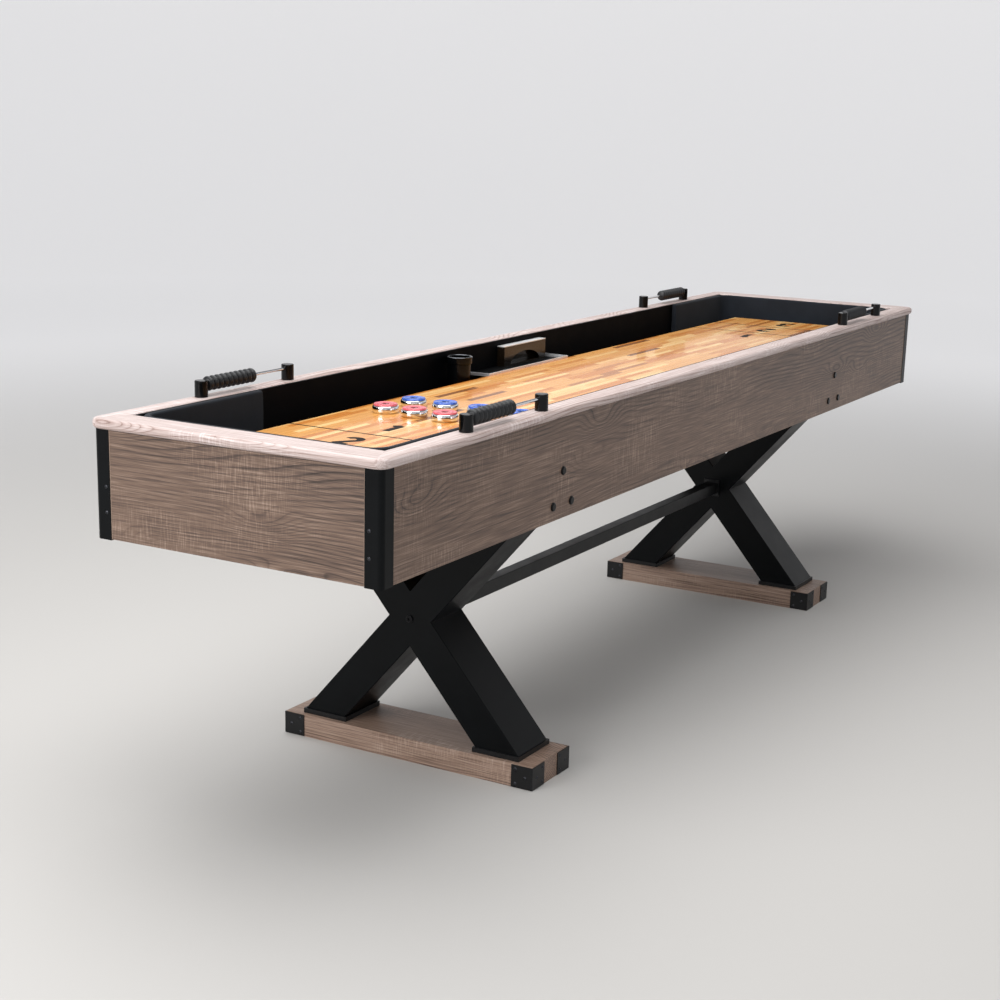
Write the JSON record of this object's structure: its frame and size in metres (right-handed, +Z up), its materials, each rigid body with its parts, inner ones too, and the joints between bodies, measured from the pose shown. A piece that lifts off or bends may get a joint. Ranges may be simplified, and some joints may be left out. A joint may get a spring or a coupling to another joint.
{
  "type": "shuffleboard table",
  "caption": "Long shuffleboard table with a sunken maple playfield, padded gutters, rail scorers with sliding beads, sliding pucks, and X-shaped legs on foot beams.",
  "frame": {"origin": "on the floor, under the centre of the table", "axes": "+X along the table's length, +Y across it, +Z up"},
  "size_m": [2.735, 0.622, 0.784],
  "materials": {
    "oak_laminate": "weathered taupe oak laminate, satin",
    "maple_board": "glossy finger-jointed maple",
    "mark_ink": "dark brown inlay under gloss",
    "deck_mdf": "dark stained board",
    "raw_bearers": "plain pine",
    "black_laminate": "black satin laminate",
    "black_liner": "black painted board",
    "bumper_pad": "charcoal padded cloth",
    "gutter_carpet": "black needle-felt carpet",
    "powder_black_steel": "black powder coat",
    "black_screws": "black oxide steel",
    "black_plastic": "moulded black plastic",
    "bead_rubber": "black rubber",
    "chrome": "polished chrome plate",
    "lip_aluminium": "polished aluminium",
    "brown_box": "dark brown veneer",
    "red_cap": "glossy red plastic",
    "blue_cap": "glossy blue plastic"
  },
  "bodies": {
    "table": {"foot_beams": "oak_laminate", "foot_brackets": "powder_black_steel", "small_screws": "black_screws", "foot_plates": "powder_black_steel", "stretcher": "powder_black_steel", "frame_bolts": "black_screws", "head_beams": "black_laminate", "end_panels": "oak_laminate", "deck_board": "deck_mdf", "cross_battens": "raw_bearers", "corner_posts": "black_laminate", "rail_backers": "deck_mdf", "side_liners": "black_liner", "gutter_carpet": "gutter_carpet", "playfield": "maple_board", "field_inlays": "mark_ink", "gutter_shelf": "black_plastic", "shelf_lip": "lip_aluminium", "arch_box": "brown_box", "arch_box_top": "lip_aluminium", "cup": "black_plastic", "cup_rim": "chrome", "scorer_posts": "black_plastic", "scorer_rods": "chrome", "leg_beam_outer_left": "black_laminate", "leg_beam_inner_left": "black_laminate", "end_rail_left": "oak_laminate", "end_bumper_left": "bumper_pad", "leg_beam_outer_right": "black_laminate", "leg_beam_inner_right": "black_laminate", "end_rail_right": "oak_laminate", "end_bumper_right": "bumper_pad", "side_panel_front": "oak_laminate", "side_rail_front": "oak_laminate", "side_panel_back": "oak_laminate", "side_rail_back": "oak_laminate"},
    "beads_front_left_rear": {"beads_front_left_rear": "bead_rubber"},
    "beads_front_left_lead": {"beads_front_left_lead": "bead_rubber"},
    "beads_back_left_rear": {"beads_back_left_rear": "bead_rubber"},
    "beads_back_left_lead": {"beads_back_left_lead": "bead_rubber"},
    "beads_front_right_rear": {"beads_front_right_rear": "bead_rubber"},
    "beads_front_right_lead": {"beads_front_right_lead": "bead_rubber"},
    "beads_back_right_rear": {"beads_back_right_rear": "bead_rubber"},
    "beads_back_right_lead": {"beads_back_right_lead": "bead_rubber"},
    "puck_red_1": {"puck_red_1_base": "chrome", "puck_red_1_cap": "red_cap"},
    "puck_red_2": {"puck_red_2_base": "chrome", "puck_red_2_cap": "red_cap"},
    "puck_red_3": {"puck_red_3_base": "chrome", "puck_red_3_cap": "red_cap"},
    "puck_red_4": {"puck_red_4_base": "chrome", "puck_red_4_cap": "red_cap"},
    "puck_blue_1": {"puck_blue_1_base": "chrome", "puck_blue_1_cap": "blue_cap"},
    "puck_blue_2": {"puck_blue_2_base": "chrome", "puck_blue_2_cap": "blue_cap"},
    "puck_blue_3": {"puck_blue_3_base": "chrome", "puck_blue_3_cap": "blue_cap"},
    "puck_blue_4": {"puck_blue_4_base": "chrome", "puck_blue_4_cap": "blue_cap"}
  },
  "joints": [
    {"name": "beads_front_left_rear_slide", "type": "slide", "parent": "table", "child": "beads_front_left_rear", "axis": [1, 0, 0], "range_m": [0, 0.0492]},
    {"name": "beads_front_left_lead_slide", "type": "slide", "parent": "beads_front_left_rear", "child": "beads_front_left_lead", "axis": [1, 0, 0], "range_m": [0, 0.0492]},
    {"name": "beads_back_left_rear_slide", "type": "slide", "parent": "table", "child": "beads_back_left_rear", "axis": [1, 0, 0], "range_m": [0, 0.0492]},
    {"name": "beads_back_left_lead_slide", "type": "slide", "parent": "beads_back_left_rear", "child": "beads_back_left_lead", "axis": [1, 0, 0], "range_m": [0, 0.0492]},
    {"name": "beads_front_right_rear_slide", "type": "slide", "parent": "table", "child": "beads_front_right_rear", "axis": [1, 0, 0], "range_m": [0, 0.0492]},
    {"name": "beads_front_right_lead_slide", "type": "slide", "parent": "beads_front_right_rear", "child": "beads_front_right_lead", "axis": [1, 0, 0], "range_m": [0, 0.0492]},
    {"name": "beads_back_right_rear_slide", "type": "slide", "parent": "table", "child": "beads_back_right_rear", "axis": [-1, 0, 0], "range_m": [0, 0.0492]},
    {"name": "beads_back_right_lead_slide", "type": "slide", "parent": "beads_back_right_rear", "child": "beads_back_right_lead", "axis": [-1, 0, 0], "range_m": [0, 0.0492]},
    {"name": "puck_red_1_slide", "type": "slide", "parent": "table", "child": "puck_red_1", "axis": [1, 0, 0], "range_m": [-0.484, 0.018]},
    {"name": "puck_red_2_slide", "type": "slide", "parent": "table", "child": "puck_red_2", "axis": [1, 0, 0], "range_m": [-0.48, 0.018]},
    {"name": "puck_red_3_slide", "type": "slide", "parent": "table", "child": "puck_red_3", "axis": [1, 0, 0], "range_m": [-0.477, 0.018]},
    {"name": "puck_red_4_slide", "type": "slide", "parent": "table", "child": "puck_red_4", "axis": [1, 0, 0], "range_m": [-0.475, 0.018]},
    {"name": "puck_blue_1_slide", "type": "slide", "parent": "table", "child": "puck_blue_1", "axis": [1, 0, 0], "range_m": [-0.018, 1.854]},
    {"name": "puck_blue_2_slide", "type": "slide", "parent": "table", "child": "puck_blue_2", "axis": [1, 0, 0], "range_m": [-0.018, 1.854]},
    {"name": "puck_blue_3_slide", "type": "slide", "parent": "table", "child": "puck_blue_3", "axis": [1, 0, 0], "range_m": [-0.018, 1.854]},
    {"name": "puck_blue_4_slide", "type": "slide", "parent": "table", "child": "puck_blue_4", "axis": [1, 0, 0], "range_m": [-0.018, 1.855]}
  ]
}
